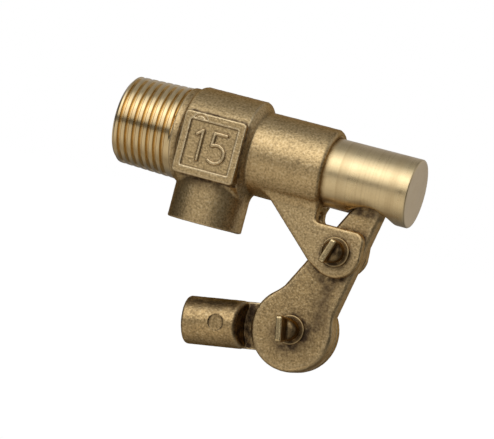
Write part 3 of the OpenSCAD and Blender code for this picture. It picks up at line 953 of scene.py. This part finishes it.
# brightness of the studio by height, from straight below (-1) to straight above (1)
STUDIO_FRONT = [(-1, 0.28), (-0.95, 0.45), (-0.7, 0.62), (-0.35, 0.6), (-0.23, 0.5), (-0.16, 0.15),
                (-0.02, 0.13), (0.05, 0.5), (0.12, 0.85), (0.35, 1.3), (0.62, 1.55), (0.84, 1.1),
                (0.95, 0.6), (1, 0.25)]
STUDIO_SIDE = [(-1, 0.28), (-0.85, 0.33), (-0.5, 0.28), (-0.25, 0.15), (-0.15, 0.06), (0.1, 0.05),
               (0.28, 0.2), (0.5, 0.45), (0.75, 0.45), (0.95, 0.3), (1, 0.25)]
STUDIO_BACK = [(-1, 0.28), (-0.9, 0.13), (-0.5, 0.13), (-0.1, 0.34), (0.05, 0.43), (0.3, 0.43),
               (0.6, 0.34), (0.85, 0.24), (0.95, 0.13), (1, 0.25)]
# tints of the light: warm from below, cool from above, and neutral at the back
WARM, COOL, NEUTRAL = (1.0, 0.93, 0.84), (0.98, 1.0, 1.05), (1.0, 0.99, 1.05)


def world():
    """A bright studio: white to the camera, and soft bands of light in the metal's reflections."""
    w = bpy.data.worlds.new("studio")
    bpy.context.scene.world = w
    w.use_nodes = True
    tree = w.node_tree
    tree.nodes.clear()
    link = tree.links.new

    def add(kind):
        return tree.nodes.new("ShaderNode" + kind)

    def smooth(value, low, high):
        node = add("MapRange")
        node.interpolation_type = "SMOOTHSTEP"
        node.inputs["From Min"].default_value = low
        node.inputs["From Max"].default_value = high
        link(value, node.inputs["Value"])
        return node.outputs[0]

    def ramp(value, stops, below=WARM, above=COOL):
        node = add("ValToRGB")
        node.color_ramp.interpolation = "EASE"
        while len(node.color_ramp.elements) < len(stops):
            node.color_ramp.elements.new(0.5)
        for element, (height, level) in zip(node.color_ramp.elements, stops):
            share = (height + 1) / 2
            element.position = share
            element.color = (*(level / 2 * (lo + (hi - lo) * share) for lo, hi in zip(below, above)), 1)
        link(value, node.inputs["Fac"])
        return node.outputs["Color"]

    def blend(share, a, b):
        node = add("Mix")
        node.data_type = "RGBA"
        link(share, node.inputs[0])
        link(a, node.inputs[6])
        link(b, node.inputs[7])
        return node.outputs[2]

    direction = add("TexCoord").outputs["Generated"]
    split = add("SeparateXYZ")
    link(direction, split.inputs[0])
    flat = add("CombineXYZ")
    link(split.outputs["X"], flat.inputs["X"])
    link(split.outputs["Y"], flat.inputs["Y"])
    level = add("VectorMath")
    level.operation = "NORMALIZE"
    link(flat.outputs[0], level.inputs[0])
    dot = add("VectorMath")
    dot.operation = "DOT_PRODUCT"
    link(level.outputs[0], dot.inputs[0])
    dot.inputs[1].default_value = FRONT_DIRECTION
    facing = dot.outputs["Value"]
    height = add("MapRange")
    height.inputs["From Min"].default_value = -1
    link(split.outputs["Z"], height.inputs["Value"])
    height = height.outputs[0]
    side = ramp(height, STUDIO_SIDE)
    colour = blend(smooth(facing, 0.5, 0.98), side, ramp(height, STUDIO_FRONT))
    colour = blend(smooth(facing, -0.2, -0.9), colour, ramp(height, STUDIO_BACK, NEUTRAL, NEUTRAL))
    light = add("Background")
    link(colour, light.inputs["Color"])
    light.inputs["Strength"].default_value = 2.0
    seen = add("Background")
    seen.inputs["Color"].default_value = (1, 1, 1, 1)
    mix = add("MixShader")
    link(add("LightPath").outputs["Is Camera Ray"], mix.inputs["Fac"])
    link(light.outputs[0], mix.inputs[1])
    link(seen.outputs[0], mix.inputs[2])
    link(mix.outputs[0], add("OutputWorld").inputs["Surface"])


def softbox(name, place, size, power, target=(0.035, 0, -0.015)):
    """A rectangular lamp, in metres and watts, turned towards the valve's middle."""
    data = bpy.data.lights.new(name, "AREA")
    data.shape = "RECTANGLE"
    data.size, data.size_y = size
    data.energy = power
    lamp = bpy.data.objects.new(name, data)
    lamp.location = place
    lamp.rotation_euler = (Vector(target) - Vector(place)).to_track_quat("-Z", "Y").to_euler()
    bpy.context.scene.collection.objects.link(lamp)


def camera():
    """A long lens from the front right, rolled so that the barrel slopes down to the right."""
    azimuth, elevation, roll = math.radians(17.629), math.radians(1.046), math.radians(14.807)
    distance, focal_length = 0.686, 217.953
    target = Vector((34.20, 0.0, -15.44)) * MM
    back = Vector((
        math.sin(azimuth) * math.cos(elevation),
        -math.cos(azimuth) * math.cos(elevation),
        math.sin(elevation),
    ))
    data = bpy.data.cameras.new("camera")
    data.sensor_width = 36
    data.lens = focal_length
    data.clip_start, data.clip_end = 0.05, 50
    cam = bpy.data.objects.new("camera", data)
    right = Vector((math.cos(azimuth), math.sin(azimuth), 0))
    up = back.cross(right)
    rolled_right = right * math.cos(roll) + up * math.sin(roll)
    rolled_up = up * math.cos(roll) - right * math.sin(roll)
    basis = Matrix((rolled_right, rolled_up, back)).transposed().to_4x4()
    basis.translation = target + back * distance
    cam.matrix_world = basis
    bpy.context.scene.collection.objects.link(cam)
    bpy.context.scene.camera = cam


floor()
world()
softbox("key", (-0.15, -0.75, 0.6), (0.5, 0.35), 0.12)
camera()
bpy.context.scene.view_settings.view_transform = "Standard"
